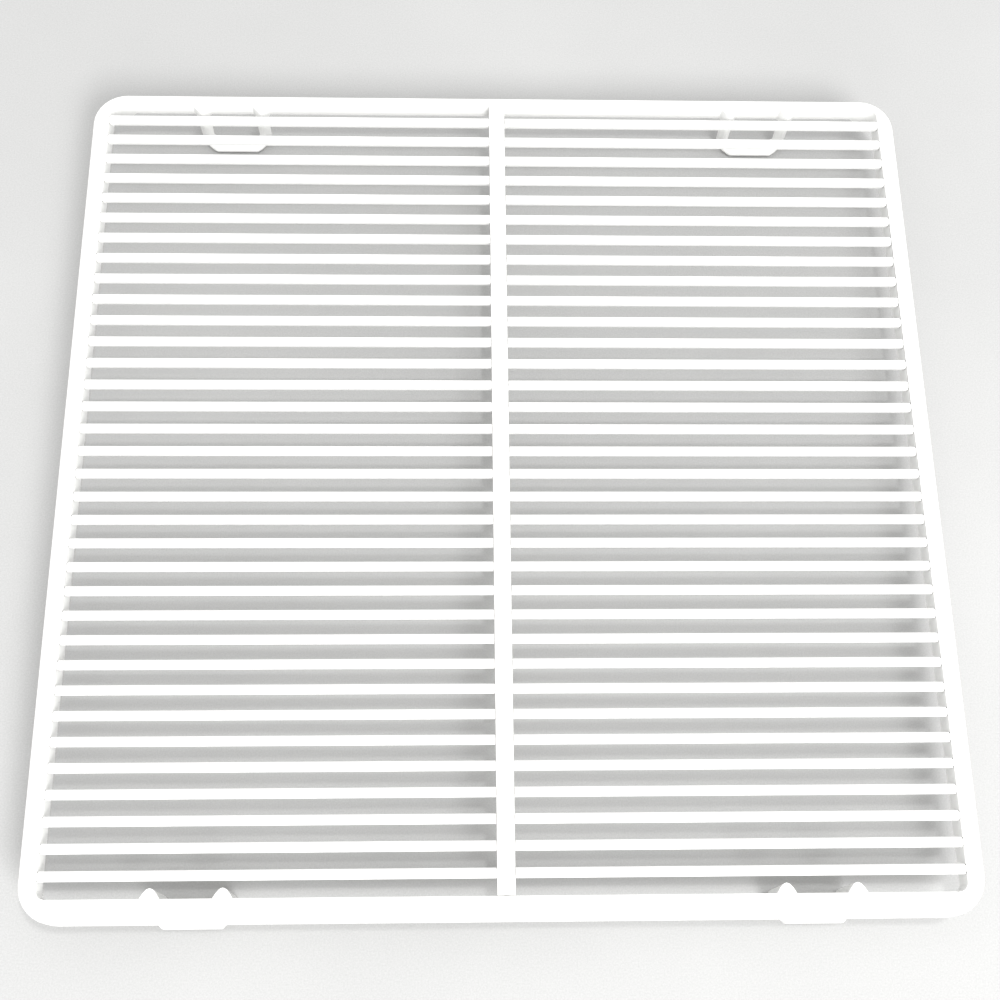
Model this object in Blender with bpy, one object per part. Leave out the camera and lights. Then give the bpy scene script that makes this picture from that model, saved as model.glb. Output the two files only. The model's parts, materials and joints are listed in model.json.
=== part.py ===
"""A square louvred air intake grille, moulded in white plastic.

Its pieces are a rim, a centre bar, a stack of louvre slats, two spring catch loops and two hinge
hooks. It lies face up on the rear ends of its loops and hooks, as it would on a table, with the
catch loops on the +Y side. Lengths are in metres and +Z is up.
"""

import math

import bmesh
import bpy
from mathutils import Vector

MM = 0.001

# The whole grille
FACE_SIZE = 500 * MM
DEPTH = 40 * MM
FRONT = DEPTH
FIT_GAP = 0.3 * MM
CUT_MARGIN = 1.0 * MM

# The rim, an open channel with its flat face to the front
TOP_RAIL = 6.6 * MM
BOTTOM_RAIL = 12.2 * MM
SIDE_RAIL = 9.8 * MM
CORNER_RADIUS = 20.0 * MM
OPENING_RADIUS = 5.0 * MM
EDGE_RADIUS = 3.0 * MM
LIP_RADIUS = 0.6 * MM
FACE_PLATE = 2.4 * MM
OUTER_WALL = 2.2 * MM
OUTER_WALL_DEPTH = 12.8 * MM
COLLAR_WALL = 2.4 * MM
COLLAR_DEPTH = 13.8 * MM
CATCH_SIDE_DEPTH = 11.2 * MM
CATCH_SIDE_CUT_INSET = 14.0 * MM
CORNER_STEPS = 8
EDGE_STEPS = 4
LIP_STEPS = 2

# The stiffening ribs inside the rim's channel
RIBS_PER_SIDE = 8
RIB_THICKNESS = 1.6 * MM
RIB_DEPTH = 9.0 * MM
RIB_BITE = 0.6 * MM

# The outline and its opening. The hooks' tongues reach past the rim to the full size
HALF_FACE = FACE_SIZE / 2
TONGUE_PROUD = 1.0 * MM
RIM_BOTTOM = TONGUE_PROUD - HALF_FACE
OPENING_HALF_WIDTH = HALF_FACE - SIDE_RAIL
OPENING_TOP = HALF_FACE - TOP_RAIL
OPENING_BOTTOM = RIM_BOTTOM + BOTTOM_RAIL

# The slats
SLAT_COUNT = 34
SLAT_PITCH = 13.86 * MM
SLAT_FRONT_WIDTH = 5.5 * MM
SLAT_REAR_WIDTH = 4.2 * MM
SLAT_DEPTH = 5.0 * MM
SLAT_EDGE_RADIUS = 2.1 * MM
SLAT_EDGE_STEPS = 5
FIRST_GAP = 8.45 * MM
TENON_INSET = 0.7 * MM
TENON_LENGTH = 1.2 * MM
POCKET_DEPTH = TENON_LENGTH + FIT_GAP

# The centre bar, a T in section with a comb of teeth between the slats
BAR_WIDTH = 9.4 * MM
BAR_CAP = 2.2 * MM
BAR_WEB = 3.2 * MM
BAR_DEPTH = 8.5 * MM
BAR_EDGE_RADIUS = 0.8 * MM
BAR_EDGE_STEPS = 3
BAR_TENON_WIDTH = 2.0 * MM
BAR_TENON_TOP = 3.4 * MM
BAR_TENON_BOTTOM = 7.4 * MM

# The catch loops: two arms and a crossbar, in one bent bar with an arched section
CATCH_OFFSET = 166.0 * MM
CATCH_ARM_SPACING = 36.7 * MM
ARM_ROOT_WIDTH = 8.2 * MM
ARM_END_WIDTH = 7.3 * MM
ARM_THICKNESS = 5.0 * MM
ARM_PLINTH = 1.6 * MM
CROSSBAR_HEIGHT = 6.2 * MM
CROSSBAR_THICKNESS = 10.5 * MM
CROSSBAR_PLINTH = 6.5 * MM
BEND_RADIUS = 5.4 * MM
BEND_STEPS = 5
ARCH_STEPS = 6

# The bumps on the collar that carry the loops' arms and the hooks' legs
BUMP_WIDTH = 10.4 * MM
BUMP_HEIGHT = 5.4 * MM
BUMP_TOP = 0.8 * MM

# The hinge hooks: two legs, a plate between them, an outward tongue and the gussets under it.
# The tongue's top is a depth behind the front face
HOOK_OFFSET = 164.0 * MM
HOOK_LEG_SPACING = 37.2 * MM
HOOK_LEG_WIDTH = 8.2 * MM
TONGUE_TOP = 24.0 * MM
TONGUE_THICKNESS = 5.4 * MM
TONGUE_HALF_WIDTH = 18.7 * MM
TONGUE_CHAMFER = 3.3 * MM
HOOK_PLATE = 3.6 * MM
GUSSET_THICKNESS = 2.4 * MM
GUSSET_SPACING = 20.0 * MM
GUSSET_REACH = 5.6 * MM
GUSSET_HEIGHT = 7.0 * MM
PIN_WIDTH = 3.0 * MM
PIN_THICKNESS = 1.8 * MM
PIN_LENGTH = 2.6 * MM
PIN_STANDOFF = 1.2 * MM

SMOOTH_ANGLE = math.radians(35)


def clear_scene():
    for found in list(bpy.data.objects):
        bpy.data.objects.remove(found, do_unlink=True)


def white_plastic(name, tint, roughness):
    material = bpy.data.materials.new(name)
    material.use_nodes = True
    shader = material.node_tree.nodes["Principled BSDF"]
    shader.inputs["Base Color"].default_value = (*tint, 1)
    shader.inputs["Roughness"].default_value = roughness
    shader.inputs["Metallic"].default_value = 0
    material.diffuse_color = (*tint, 1)
    return material


def add_object(name, bm, material=None):
    """Makes an object of a bmesh. One with no material is a helper, which is cut away or joined on."""
    bmesh.ops.recalc_face_normals(bm, faces=bm.faces)
    mesh = bpy.data.meshes.new(name)
    bm.to_mesh(mesh)
    bm.free()
    made = bpy.data.objects.new(name, mesh)
    bpy.context.scene.collection.objects.link(made)
    if material:
        mesh.materials.append(material)
        mesh.shade_smooth()
        mesh.set_sharp_from_angle(angle=SMOOTH_ANGLE)
    else:
        made.hide_render = True
        made.display_type = "WIRE"
    return made


def apply_helper(target, helper, operation):
    modifier = target.modifiers.new(helper.name, "BOOLEAN")
    modifier.operation = operation
    modifier.solver = "EXACT"
    modifier.object = helper


def add_box(bm, low, high):
    corners = [Vector((x, y, z)) for x in (low[0], high[0]) for y in (low[1], high[1]) for z in (low[2], high[2])]
    box = bmesh.ops.create_cube(bm, size=1)["verts"]
    middle = (corners[0] + corners[-1]) / 2
    size = corners[-1] - corners[0]
    for vertex in box:
        vertex.co = middle + vertex.co * size
    return box


def add_prism(bm, outline, step):
    """Adds a flat outline, moved along step, as a closed prism."""
    face = bm.faces.new([bm.verts.new(point) for point in outline])
    extruded = bmesh.ops.extrude_face_region(bm, geom=[face])["geom"]
    moved = [item for item in extruded if isinstance(item, bmesh.types.BMVert)]
    bmesh.ops.translate(bm, verts=moved, vec=step)


def add_loft(bm, rings, closed):
    """Joins rings that have the same number of points. An open loft gets a cap at each end."""
    rows = [[bm.verts.new(point) for point in ring] for ring in rings]
    pairs = list(zip(rows, rows[1:]))
    if closed:
        pairs.append((rows[-1], rows[0]))
    else:
        bm.faces.new(rows[0])
        bm.faces.new(rows[-1])
    for here, there in pairs:
        for index in range(len(here)):
            after = (index + 1) % len(here)
            bm.faces.new((here[index], here[after], there[after], there[index]))


def arc(centre, radius, start, end, steps):
    turns = [start + (end - start) * step / steps for step in range(steps + 1)]
    return [(centre[0] + radius * math.cos(turn), centre[1] + radius * math.sin(turn)) for turn in turns]


def rounded_rectangle(half_width, bottom, top, radius, z):
    corners = (
        (half_width - radius, top - radius, 0),
        (radius - half_width, top - radius, 90),
        (radius - half_width, bottom + radius, 180),
        (half_width - radius, bottom + radius, 270),
    )
    points = []
    for x, y, turn in corners:
        quarter = arc((x, y), radius, math.radians(turn), math.radians(turn + 90), CORNER_STEPS)
        points += [Vector((px, py, z)) for px, py in quarter]
    return points


def outline_ring(inset, depth):
    """The rim's outline, moved in by inset, at a depth behind the front face."""
    half = HALF_FACE - inset
    return rounded_rectangle(half, RIM_BOTTOM + inset, half, CORNER_RADIUS - inset, FRONT - depth)


def opening_ring(growth, depth):
    """The opening's outline, grown by growth, at a depth behind the front face."""
    half_width = OPENING_HALF_WIDTH + growth
    bottom = OPENING_BOTTOM - growth
    return rounded_rectangle(half_width, bottom, OPENING_TOP + growth, OPENING_RADIUS + growth, FRONT - depth)


def slat_height(number):
    """The y of a slat's middle. Slat 1 is nearest the catch loops."""
    first = OPENING_TOP - FIRST_GAP - SLAT_FRONT_WIDTH / 2
    return first - (number - 1) * SLAT_PITCH


def slat_half_width(depth):
    """Half of a slat's width at a depth behind the front face."""
    taper = (SLAT_FRONT_WIDTH - SLAT_REAR_WIDTH) / SLAT_DEPTH
    return (SLAT_FRONT_WIDTH - taper * depth) / 2


def paired_middles(offset, spacing):
    """The x of the middles of two pairs, one on each side of the grille."""
    return [side * offset + hand * spacing / 2 for side in (-1, 1) for hand in (-1, 1)]


def blend(first, second, share):
    return first + share * (second - first)


def arch_section(width, thickness, plinth):
    """A flat base, two short upright sides and a rounded top, as (across, up) points."""
    points = [(-width / 2, 0)]
    for step in range(ARCH_STEPS + 1):
        across = width * (step / ARCH_STEPS - 0.5)
        rise = (thickness - plinth) * math.cos(math.pi * across / width)
        points.append((across, plinth + rise))
    points.append((width / 2, 0))
    return points


def rim_channel():
    bm = bmesh.new()
    rings = []
    for step in range(EDGE_STEPS + 1):
        turn = math.pi / 2 * step / EDGE_STEPS
        rings.append(outline_ring(EDGE_RADIUS * (1 - math.sin(turn)), EDGE_RADIUS * (1 - math.cos(turn))))
    rings.append(outline_ring(0, OUTER_WALL_DEPTH))
    rings.append(outline_ring(OUTER_WALL, OUTER_WALL_DEPTH))
    rings.append(outline_ring(OUTER_WALL, FACE_PLATE))
    rings.append(opening_ring(COLLAR_WALL, FACE_PLATE))
    rings.append(opening_ring(COLLAR_WALL, COLLAR_DEPTH))
    rings.append(opening_ring(0, COLLAR_DEPTH))
    for step in range(LIP_STEPS + 1):
        turn = math.pi / 2 * step / LIP_STEPS
        rings.append(opening_ring(LIP_RADIUS * (1 - math.cos(turn)), LIP_RADIUS * (1 - math.sin(turn))))
    add_loft(bm, rings, closed=True)
    return bm


def rim_ribs():
    """The cross ribs in the channel, and the bumps on the collar's inner face."""
    bm = bmesh.new()
    bottom = FRONT - RIB_DEPTH
    top = FRONT - FACE_PLATE + RIB_BITE
    outer = HALF_FACE - OUTER_WALL + RIB_BITE
    spacing = (FACE_SIZE - 2 * CORNER_RADIUS) / (RIBS_PER_SIDE - 1)
    for number in range(RIBS_PER_SIDE):
        along = CORNER_RADIUS - HALF_FACE + number * spacing
        low = along - RIB_THICKNESS / 2
        high = along + RIB_THICKNESS / 2
        side_inner = OPENING_HALF_WIDTH + COLLAR_WALL - RIB_BITE
        for hand in (-1, 1):
            ends = sorted((hand * side_inner, hand * outer))
            add_box(bm, (ends[0], low, bottom), (ends[1], high, top))
        add_box(bm, (low, OPENING_TOP + COLLAR_WALL - RIB_BITE, bottom), (high, outer, top))
        lower = RIM_BOTTOM + OUTER_WALL - RIB_BITE
        add_box(bm, (low, lower, bottom), (high, OPENING_BOTTOM - COLLAR_WALL + RIB_BITE, top))
    for middles, edge, inward, rear in (
        (paired_middles(CATCH_OFFSET, CATCH_ARM_SPACING), OPENING_TOP, -1, CATCH_SIDE_DEPTH),
        (paired_middles(HOOK_OFFSET, HOOK_LEG_SPACING), OPENING_BOTTOM, 1, COLLAR_DEPTH),
    ):
        section = arch_section(BUMP_WIDTH, BUMP_HEIGHT + RIB_BITE, RIB_BITE)
        for middle in middles:
            outline = [
                Vector((middle + across, edge + inward * (up - RIB_BITE), FRONT - BUMP_TOP))
                for across, up in section
            ]
            add_prism(bm, outline, Vector((0, 0, BUMP_TOP - rear)))
    return bm


def rim_pockets():
    """What is cut from the rim: a pocket for each tenon and pin, and the lower wall on the catch side."""
    bm = bmesh.new()
    tenon_top = FRONT - TENON_INSET + FIT_GAP
    tenon_bottom = FRONT - SLAT_DEPTH + TENON_INSET - FIT_GAP
    tenon_half = slat_half_width(0) - TENON_INSET + FIT_GAP
    wall = OPENING_HALF_WIDTH
    for number in range(1, SLAT_COUNT + 1):
        y = slat_height(number)
        for hand in (-1, 1):
            ends = sorted((hand * (wall - CUT_MARGIN), hand * (wall + POCKET_DEPTH)))
            add_box(bm, (ends[0], y - tenon_half, tenon_bottom), (ends[1], y + tenon_half, tenon_top))
    bar_half = BAR_TENON_WIDTH / 2 + FIT_GAP
    bar_top = FRONT - BAR_TENON_TOP + FIT_GAP
    bar_bottom = FRONT - BAR_TENON_BOTTOM - FIT_GAP
    for edge, outward in ((OPENING_TOP, 1), (OPENING_BOTTOM, -1)):
        ends = sorted((edge - outward * CUT_MARGIN, edge + outward * POCKET_DEPTH))
        add_box(bm, (-bar_half, ends[0], bar_bottom), (bar_half, ends[1], bar_top))
    for middle in paired_middles(HOOK_OFFSET, HOOK_LEG_SPACING):
        low, high = pin_box(middle, FIT_GAP)
        add_box(bm, low - Vector((0, 0, CUT_MARGIN)), high)
    reach = OPENING_HALF_WIDTH - CATCH_SIDE_CUT_INSET
    step = COLLAR_DEPTH - CATCH_SIDE_DEPTH + CUT_MARGIN
    y = OPENING_TOP - BUMP_HEIGHT - CUT_MARGIN
    outline = [
        Vector((x, y, z))
        for x, z in (
            (-reach, FRONT - CATCH_SIDE_DEPTH),
            (reach, FRONT - CATCH_SIDE_DEPTH),
            (reach + step, FRONT - CATCH_SIDE_DEPTH - step),
            (-reach - step, FRONT - CATCH_SIDE_DEPTH - step),
        )
    ]
    add_prism(bm, outline, Vector((0, BUMP_HEIGHT + COLLAR_WALL + 2 * CUT_MARGIN, 0)))
    return bm


def make_rim(material):
    rim = add_object("rim", rim_channel(), material)
    apply_helper(rim, add_object("rim_ribs_helper", rim_ribs()), "UNION")
    apply_helper(rim, add_object("rim_pockets_helper", rim_pockets()), "DIFFERENCE")


def slat_section():
    """A slat's section as (y, z) points: rounded at the front and narrower at the rear."""
    half = SLAT_FRONT_WIDTH / 2
    middle = half - SLAT_EDGE_RADIUS
    drop = FRONT - SLAT_EDGE_RADIUS
    rear = FRONT - SLAT_DEPTH
    points = arc((middle, drop), SLAT_EDGE_RADIUS, 0, math.pi / 2, SLAT_EDGE_STEPS)
    points += arc((-middle, drop), SLAT_EDGE_RADIUS, math.pi / 2, math.pi, SLAT_EDGE_STEPS)
    points += [(-SLAT_REAR_WIDTH / 2, rear), (SLAT_REAR_WIDTH / 2, rear)]
    return points


def slat_body():
    """A slat at y = 0, with a tenon on each end."""
    bm = bmesh.new()
    half_length = OPENING_HALF_WIDTH - FIT_GAP
    outline = [Vector((-half_length, y, z)) for y, z in slat_section()]
    add_prism(bm, outline, Vector((2 * half_length, 0, 0)))
    bm.normal_update()
    for hand in (-1, 1):
        end = max(bm.faces, key=lambda face: hand * face.calc_center_median().x)
        bmesh.ops.inset_region(bm, faces=[end], thickness=TENON_INSET, use_even_offset=True)
        grown = bmesh.ops.extrude_face_region(bm, geom=[end])["geom"]
        tip = [item for item in grown if isinstance(item, bmesh.types.BMVert)]
        bmesh.ops.translate(bm, verts=tip, vec=(hand * (TENON_LENGTH + FIT_GAP), 0, 0))
        bmesh.ops.delete(bm, geom=[end], context="FACES_ONLY")
    return bm


def make_slats(material):
    """Each slat is notched at the front, where the centre bar's cap crosses it."""
    notch = bmesh.new()
    reach = BAR_WIDTH / 2 + FIT_GAP
    floor = FRONT - BAR_CAP - FIT_GAP
    add_box(notch, (-reach, -HALF_FACE, floor), (reach, HALF_FACE, FRONT + CUT_MARGIN))
    notch_helper = add_object("slat_notch_helper", notch)
    for number in range(1, SLAT_COUNT + 1):
        slat = add_object(f"slat_{number:02d}", slat_body(), material)
        slat.location.y = slat_height(number)
        apply_helper(slat, notch_helper, "DIFFERENCE")


def bar_section():
    """The centre bar's T section as (x, z) points."""
    half = BAR_WIDTH / 2
    middle = half - BAR_EDGE_RADIUS
    drop = FRONT - BAR_EDGE_RADIUS
    points = arc((middle, drop), BAR_EDGE_RADIUS, 0, math.pi / 2, BAR_EDGE_STEPS)
    points += arc((-middle, drop), BAR_EDGE_RADIUS, math.pi / 2, math.pi, BAR_EDGE_STEPS)
    points += [
        (-half, FRONT - BAR_CAP),
        (-BAR_WEB / 2, FRONT - BAR_CAP),
        (-BAR_WEB / 2, FRONT - BAR_DEPTH),
        (BAR_WEB / 2, FRONT - BAR_DEPTH),
        (BAR_WEB / 2, FRONT - BAR_CAP),
        (half, FRONT - BAR_CAP),
    ]
    return points


def make_centre_bar(material):
    start = OPENING_BOTTOM + FIT_GAP
    end = OPENING_TOP - FIT_GAP
    bar = bmesh.new()
    add_prism(bar, [Vector((x, start, z)) for x, z in bar_section()], Vector((0, end - start, 0)))
    notches = bmesh.new()
    half = slat_half_width(BAR_CAP) + FIT_GAP
    reach = BAR_WEB / 2 + CUT_MARGIN
    for number in range(1, SLAT_COUNT + 1):
        y = slat_height(number)
        low = (-reach, y - half, FRONT - BAR_DEPTH - CUT_MARGIN)
        add_box(notches, low, (reach, y + half, FRONT - BAR_CAP))
    tenons = bmesh.new()
    half = BAR_TENON_WIDTH / 2
    for edge, outward in ((start, -1), (end, 1)):
        tip = edge + outward * (FIT_GAP + TENON_LENGTH)
        ends = sorted((edge - outward * CUT_MARGIN, tip))
        add_box(tenons, (-half, ends[0], FRONT - BAR_TENON_BOTTOM), (half, ends[1], FRONT - BAR_TENON_TOP))
    made = add_object("centre_bar", bar, material)
    apply_helper(made, add_object("bar_notches_helper", notches), "DIFFERENCE")
    apply_helper(made, add_object("bar_tenons_helper", tenons), "UNION")


def loop_rings(pivot):
    """The rings of a catch loop about its pivot, from one arm's root round to the other's."""
    rail = CATCH_ARM_SPACING / 2
    stops = [(-rail, pivot.z, 180, ARM_ROOT_WIDTH, 0)]
    for corner, start in ((BEND_RADIUS - rail, 180), (rail - BEND_RADIUS, 270)):
        turns = [start + 90 * step / BEND_STEPS for step in range(BEND_STEPS + 1)]
        for turn in turns:
            bend = math.radians(turn)
            share = 1 - abs(270 - turn) / 90
            x = corner + BEND_RADIUS * math.cos(bend)
            z = CROSSBAR_HEIGHT / 2 + BEND_RADIUS * (1 + math.sin(bend))
            stops.append((x, z, turn, blend(ARM_END_WIDTH, CROSSBAR_HEIGHT, share), share))
    stops.append((rail, pivot.z, 360, ARM_ROOT_WIDTH, 0))
    back = OPENING_TOP - pivot.y
    rings = []
    for x, z, turn, width, share in stops:
        section = arch_section(
            width,
            blend(ARM_THICKNESS, CROSSBAR_THICKNESS, share),
            blend(ARM_PLINTH, CROSSBAR_PLINTH, share),
        )
        out_x = math.cos(math.radians(turn))
        out_z = math.sin(math.radians(turn))
        rings.append(
            [Vector((x + across * out_x, back - up, z - pivot.z + across * out_z)) for across, up in section]
        )
    return rings


def make_catch_loop(name, middle, material):
    """A loop whose origin is on the line where it bends, at the inner side of its root."""
    pivot = Vector((middle, OPENING_TOP - ARM_THICKNESS, FRONT - CATCH_SIDE_DEPTH - FIT_GAP))
    bm = bmesh.new()
    add_loft(bm, loop_rings(pivot), closed=False)
    add_object(name, bm, material).location = pivot


def pin_box(middle, growth):
    """The pin that joins a hook's leg to its bump, grown by growth on every side."""
    foot = FRONT - COLLAR_DEPTH - FIT_GAP
    low = Vector((middle - PIN_WIDTH / 2, OPENING_BOTTOM + PIN_STANDOFF, foot))
    high = Vector((middle + PIN_WIDTH / 2, low.y + PIN_THICKNESS, foot + FIT_GAP + PIN_LENGTH))
    grow = Vector((growth, growth, growth))
    return low - grow, high + grow


def hook_plate(middle):
    bm = bmesh.new()
    reach = HOOK_LEG_SPACING / 2
    low = (middle - reach, OPENING_BOTTOM - HOOK_PLATE, 0)
    add_box(bm, low, (middle + reach, OPENING_BOTTOM, FRONT - TONGUE_TOP))
    return bm


def hook_leg(middle):
    """An upright leg that carries on the line of the bump above it."""
    bm = bmesh.new()
    base = OPENING_BOTTOM - HOOK_PLATE
    section = arch_section(HOOK_LEG_WIDTH, BUMP_HEIGHT + HOOK_PLATE, HOOK_PLATE)
    outline = [Vector((middle + across, base + up, 0)) for across, up in section]
    add_prism(bm, outline, Vector((0, 0, FRONT - COLLAR_DEPTH - FIT_GAP)))
    return bm


def hook_tongue(middle):
    """The tongue that reaches outward from the plate, with its outer corners cut off."""
    bm = bmesh.new()
    root = OPENING_BOTTOM - HOOK_PLATE / 2
    outline = [
        Vector((middle + x, y, FRONT - TONGUE_TOP))
        for x, y in (
            (-TONGUE_HALF_WIDTH, root),
            (TONGUE_HALF_WIDTH, root),
            (TONGUE_HALF_WIDTH, TONGUE_CHAMFER - HALF_FACE),
            (TONGUE_HALF_WIDTH - TONGUE_CHAMFER, -HALF_FACE),
            (TONGUE_CHAMFER - TONGUE_HALF_WIDTH, -HALF_FACE),
            (-TONGUE_HALF_WIDTH, TONGUE_CHAMFER - HALF_FACE),
        )
    ]
    add_prism(bm, outline, Vector((0, 0, -TONGUE_THICKNESS)))
    return bm


def hook_gussets(middle):
    bm = bmesh.new()
    under = FRONT - TONGUE_TOP - TONGUE_THICKNESS
    plate = OPENING_BOTTOM - HOOK_PLATE
    corners = (
        (plate + RIB_BITE, under + RIB_BITE),
        (plate - GUSSET_REACH, under + RIB_BITE),
        (plate - GUSSET_REACH, under),
        (plate, under - GUSSET_HEIGHT),
        (plate + RIB_BITE, under - GUSSET_HEIGHT),
    )
    for hand in (-1, 1):
        x = middle + hand * GUSSET_SPACING / 2 - GUSSET_THICKNESS / 2
        add_prism(bm, [Vector((x, y, z)) for y, z in corners], Vector((GUSSET_THICKNESS, 0, 0)))
    return bm


def hook_pins(middle):
    bm = bmesh.new()
    for hand in (-1, 1):
        low, high = pin_box(middle + hand * HOOK_LEG_SPACING / 2, 0)
        add_box(bm, low - Vector((0, 0, CUT_MARGIN)), high)
    return bm


def make_hinge_hook(name, middle, material):
    hook = add_object(name, hook_plate(middle), material)
    half = HOOK_LEG_SPACING / 2
    additions = {
        "left_leg": hook_leg(middle - half),
        "right_leg": hook_leg(middle + half),
        "tongue": hook_tongue(middle),
        "gussets": hook_gussets(middle),
        "pins": hook_pins(middle),
    }
    for word, addition in additions.items():
        apply_helper(hook, add_object(f"{name}_{word}_helper", addition), "UNION")


def main():
    clear_scene()
    make_rim(white_plastic("rim_plastic", (0.90, 0.90, 0.89), 0.38))
    make_centre_bar(white_plastic("bar_plastic", (0.90, 0.90, 0.89), 0.38))
    make_slats(white_plastic("slat_plastic", (0.91, 0.91, 0.90), 0.36))
    catch_plastic = white_plastic("catch_plastic", (0.88, 0.88, 0.87), 0.42)
    hook_plastic = white_plastic("hook_plastic", (0.88, 0.88, 0.87), 0.42)
    for word, hand in (("left", -1), ("right", 1)):
        make_catch_loop(f"catch_loop_{word}", hand * CATCH_OFFSET, catch_plastic)
        make_hinge_hook(f"hinge_hook_{word}", hand * HOOK_OFFSET, hook_plastic)


main()
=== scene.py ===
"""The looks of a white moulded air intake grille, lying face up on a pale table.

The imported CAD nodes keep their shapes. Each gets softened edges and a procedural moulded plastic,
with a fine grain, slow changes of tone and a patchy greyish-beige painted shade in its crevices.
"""

import json
import math

import bpy
from mathutils import Euler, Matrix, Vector


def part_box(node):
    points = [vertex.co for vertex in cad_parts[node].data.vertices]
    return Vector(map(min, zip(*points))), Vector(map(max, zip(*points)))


MM = 0.001

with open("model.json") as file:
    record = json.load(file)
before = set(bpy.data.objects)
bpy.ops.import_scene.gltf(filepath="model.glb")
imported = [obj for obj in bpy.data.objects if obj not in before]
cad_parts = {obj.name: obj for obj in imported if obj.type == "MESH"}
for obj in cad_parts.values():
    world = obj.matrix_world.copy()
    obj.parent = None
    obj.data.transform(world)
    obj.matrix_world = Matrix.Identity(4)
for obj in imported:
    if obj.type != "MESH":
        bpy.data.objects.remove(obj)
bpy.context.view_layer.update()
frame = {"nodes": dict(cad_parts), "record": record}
face_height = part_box("rim")[1].z

# Softened edges, by material slot
EDGE_SOFTENING = {
    "rim": 0.25 * MM,
    "centre_bar": 0.15 * MM,
    "slats": 0.1 * MM,
    "catches": 0.5 * MM,
    "hooks": 0.4 * MM,
}
SOFTEN_ABOVE = math.radians(33)
FLAT_BELOW = math.radians(0.3)
SOFTENING_STEPS = 2
WELD_DISTANCE = 0.01 * MM

# The plastic's colours, and the painted shade laid into its crevices
WHITE = (0.90, 0.90, 0.885, 1)
SOFT_WHITE = (0.88, 0.88, 0.868, 1)
DULL_WHITE = (0.86, 0.86, 0.845, 1)
# A greyish-beige painted shade for the plastic's crevices
CREVICE_SHADE = (0.60, 0.57, 0.52, 1)

# The plastic's patterns, in features per metre, and the height of its relief
TONE_SCALE = 9
FLOW_SCALE = 60
# The patches of the painted crevice shade
CREVICE_SHADE_PATCH_SCALE = 140
HANDLING_SCALE = 22
FINE_SCALE = 900
GRAIN_SCALE = 2600
GRAIN_HEIGHT = 0.06 * MM
WAVE_SCALE = 38
WAVE_HEIGHT = 0.5 * MM
CREVICE_REACH = 5 * MM

# The table's colours, patterns and relief
TABLE_DARK = (0.38, 0.38, 0.377, 1)
TABLE_LIGHT = (0.49, 0.49, 0.486, 1)
TABLE_TONE_SCALE = 5
SPECKLE_SCALE = 1100
SPECKLE_SHARE = 0.7
TABLE_GRAIN_SCALE = 700
TABLE_GRAIN_HEIGHT = 0.1 * MM

# The camera: its place is measured from the middle of the face, and its turn is in degrees
LENS = 52.49
SENSOR = 36.0
CAMERA_FROM_FACE = Vector((-28.08, -305.43, 772.28)) * MM
CAMERA_TURN = (20.28, -1.77, -0.67)

# The light: a small key that draws the slats' shadows, a low fill on the camera's side and a sky
KEY_PLACE = Vector((0.25, -0.19, 1.95))
KEY_SIZE = 0.13
KEY_POWER = 11.0
FILL_PLACE = Vector((0.7, -1.6, 1.9))
FILL_SIZE = 0.9
FILL_POWER = 60.0
SKY_STRENGTH = 1.08
FLOOR_SIZE = 14.0


class Shader:
    """A material's nodes, made one at a time."""

    def __init__(self, name):
        self.material = bpy.data.materials.new(name)
        self.material.use_nodes = True
        self.tree = self.material.node_tree
        self.surface = self.tree.nodes["Principled BSDF"]
        self.place = self.add("ShaderNodeTexCoord").outputs["Object"]

    def add(self, kind, links=None, **settings):
        """Makes a node. links maps an input's name or number to a value, or to the output that feeds it."""
        node = self.tree.nodes.new(kind)
        for name, value in settings.items():
            setattr(node, name, value)
        for name, value in (links or {}).items():
            if isinstance(value, bpy.types.NodeSocket):
                self.tree.links.new(value, node.inputs[name])
            else:
                node.inputs[name].default_value = value
        return node

    def noise(self, scale, detail=2.0, roughness=0.5, stretch=None):
        """A noise from 0 to 1, with features of about 1 / scale metres."""
        place = self.place
        if stretch:
            place = self.add("ShaderNodeMapping", {"Vector": place, "Scale": stretch}).outputs[0]
        links = {"Vector": place, "Scale": scale, "Detail": detail, "Roughness": roughness}
        return self.add("ShaderNodeTexNoise", links).outputs["Fac"]

    def remap(self, value, low, high, to_low=0.0, to_high=1.0):
        links = {"Value": value, "From Min": low, "From Max": high, "To Min": to_low, "To Max": to_high}
        return self.add("ShaderNodeMapRange", links).outputs["Result"]

    def math(self, operation, first, second):
        return self.add("ShaderNodeMath", {0: first, 1: second}, operation=operation).outputs[0]

    def mix(self, share, first, second):
        links = {0: share, 6: first, 7: second}
        return self.add("ShaderNodeMix", links, data_type="RGBA").outputs[2]

    def bump(self, height, strength, distance, normal=None):
        links = {"Height": height, "Strength": strength, "Distance": distance}
        if normal is not None:
            links["Normal"] = normal
        return self.add("ShaderNodeBump", links).outputs["Normal"]

    def feed(self, name, value):
        self.tree.links.new(value, self.surface.inputs[name])


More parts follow.
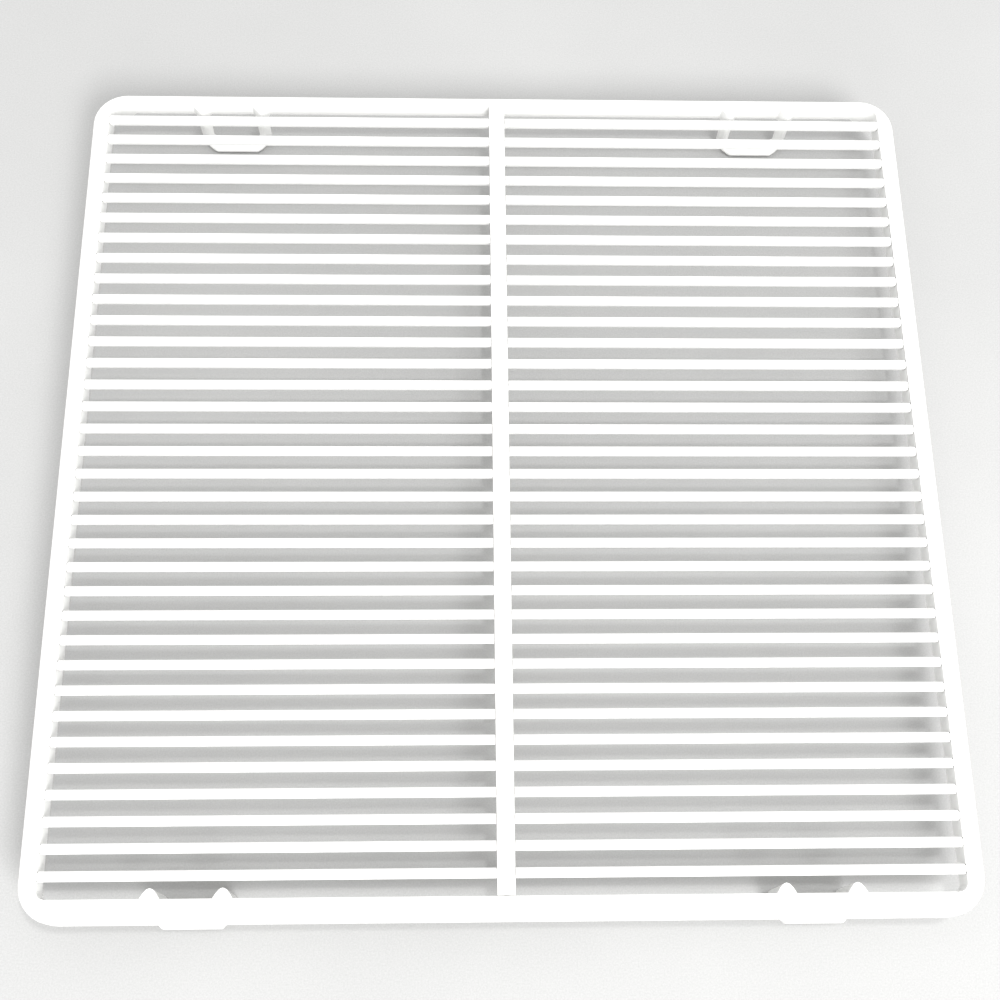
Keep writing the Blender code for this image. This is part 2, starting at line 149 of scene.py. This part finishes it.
def moulded_plastic(name, tint, shade, gloss, flow):
    """White moulded plastic. A scale in flow below 1 draws its faint flow marks out along that axis."""
    made = Shader(name)
    tone = made.remap(made.noise(TONE_SCALE, 3.0), 0.3, 0.7)
    marks = made.remap(made.noise(FLOW_SCALE, 3.0, 0.6, flow), 0.35, 0.7)
    colour = made.mix(tone, tint, shade)
    colour = made.mix(made.math("MULTIPLY", marks, 0.25), colour, shade)
    # Painted shade: a greyish-beige darkening in crevices and recesses, found by ambient occlusion and
    # broken into patches by a noise
    crevice = made.add("ShaderNodeAmbientOcclusion", {"Distance": CREVICE_REACH}, samples=6)
    crevice_shade = made.remap(crevice.outputs["AO"], 0.30, 0.70, 0.35, 0.0)
    patchy_crevice_shade = made.math("MULTIPLY", crevice_shade, made.remap(made.noise(CREVICE_SHADE_PATCH_SCALE, 4.0), 0.35, 0.75))
    colour = made.mix(patchy_crevice_shade, colour, CREVICE_SHADE)
    made.feed("Base Color", colour)

    handled = made.remap(made.noise(HANDLING_SCALE, 4.0, 0.6), 0.35, 0.7, gloss - 0.05, gloss + 0.09)
    fine = made.remap(made.noise(FINE_SCALE, 2.0), 0.3, 0.7, -0.03, 0.03)
    made.feed("Roughness", made.math("ADD", handled, fine))

    grain = made.bump(made.noise(GRAIN_SCALE, 2.0), 0.10, GRAIN_HEIGHT)
    waves = made.bump(made.noise(WAVE_SCALE, 2.0, 0.5, flow), 0.18, WAVE_HEIGHT, grain)
    made.feed("Normal", waves)
    made.surface.inputs["IOR"].default_value = 1.5
    return made.material


def table_top():
    """A pale matt surface with a fine speckle."""
    made = Shader("table_top")
    slow = made.remap(made.noise(TABLE_TONE_SCALE, 4.0), 0.3, 0.7)
    speckle = made.remap(made.noise(SPECKLE_SCALE, 3.0, 0.7), 0.3, 0.7)
    slow_part = made.math("MULTIPLY", slow, 1 - SPECKLE_SHARE)
    tone = made.math("ADD", slow_part, made.math("MULTIPLY", speckle, SPECKLE_SHARE))
    made.feed("Base Color", made.mix(tone, TABLE_DARK, TABLE_LIGHT))
    made.feed("Normal", made.bump(made.noise(TABLE_GRAIN_SCALE, 3.0), 0.12, TABLE_GRAIN_HEIGHT))
    made.surface.inputs["Roughness"].default_value = 0.75
    made.surface.inputs["Specular IOR Level"].default_value = 0.2
    return made.material


def plastics():
    """One plastic for each of the record's material slots."""
    return {
        "rim": moulded_plastic("rim_plastic", WHITE, SOFT_WHITE, 0.36, (1.0, 1.0, 1.0)),
        "centre_bar": moulded_plastic("bar_plastic", WHITE, SOFT_WHITE, 0.36, (1.0, 0.12, 1.0)),
        "slats": moulded_plastic("slat_plastic", WHITE, SOFT_WHITE, 0.34, (0.10, 1.0, 1.0)),
        "catches": moulded_plastic("catch_plastic", SOFT_WHITE, DULL_WHITE, 0.42, (1.0, 1.0, 0.4)),
        "hooks": moulded_plastic("hook_plastic", SOFT_WHITE, DULL_WHITE, 0.42, (1.0, 1.0, 0.4)),
    }


def soften_edges(node, width):
    """Rounds a node's hard edges with modifiers and shades it smoothly. Its mesh keeps its shape."""
    for polygon in node.data.polygons:
        polygon.use_smooth = True
    weld = node.modifiers.new("weld", "WELD")
    weld.merge_threshold = WELD_DISTANCE
    merge = node.modifiers.new("merge_flats", "DECIMATE")
    merge.decimate_type = "DISSOLVE"
    merge.angle_limit = FLAT_BELOW
    bevel = node.modifiers.new("soft_edges", "BEVEL")
    bevel.width = width
    bevel.segments = SOFTENING_STEPS
    bevel.limit_method = "ANGLE"
    bevel.angle_limit = SOFTEN_ABOVE
    node.modifiers.new("flat_faces", "WEIGHTED_NORMAL")


def dress_nodes():
    finishes = plastics()
    for entry in frame["record"]["subparts"]:
        node = frame["nodes"][entry["node"]]
        slot = entry["material_slot"]
        node.data.materials.clear()
        node.data.materials.append(finishes[slot])
        soften_edges(node, EDGE_SOFTENING[slot])


def add_table():
    bpy.ops.mesh.primitive_plane_add(size=FLOOR_SIZE)
    table = bpy.context.object
    table.name = "table"
    table.data.materials.append(table_top())


def add_lamp(name, place, size, power):
    """A square soft lamp that faces the middle of the grille."""
    data = bpy.data.lights.new(name, "AREA")
    data.size = size
    data.energy = power
    lamp = bpy.data.objects.new(name, data)
    lamp.location = place
    lamp.rotation_euler = (-place).to_track_quat("-Z", "Y").to_euler()
    bpy.context.scene.collection.objects.link(lamp)


def add_sky():
    world = bpy.data.worlds.new("studio")
    world.use_nodes = True
    world.node_tree.nodes["Background"].inputs["Color"].default_value = (1, 1, 1, 1)
    world.node_tree.nodes["Background"].inputs["Strength"].default_value = SKY_STRENGTH
    bpy.context.scene.world = world


def add_camera():
    data = bpy.data.cameras.new("camera")
    data.lens = LENS
    data.sensor_width = SENSOR
    camera = bpy.data.objects.new("camera", data)
    camera.location = CAMERA_FROM_FACE + Vector((0, 0, face_height))
    camera.rotation_euler = Euler([math.radians(turn) for turn in CAMERA_TURN])
    bpy.context.scene.collection.objects.link(camera)
    bpy.context.scene.camera = camera


dress_nodes()
add_table()
add_lamp("key", KEY_PLACE, KEY_SIZE, KEY_POWER)
add_lamp("fill", FILL_PLACE, FILL_SIZE, FILL_POWER)
add_sky()
add_camera()
bpy.context.scene.view_settings.view_transform = "Standard"
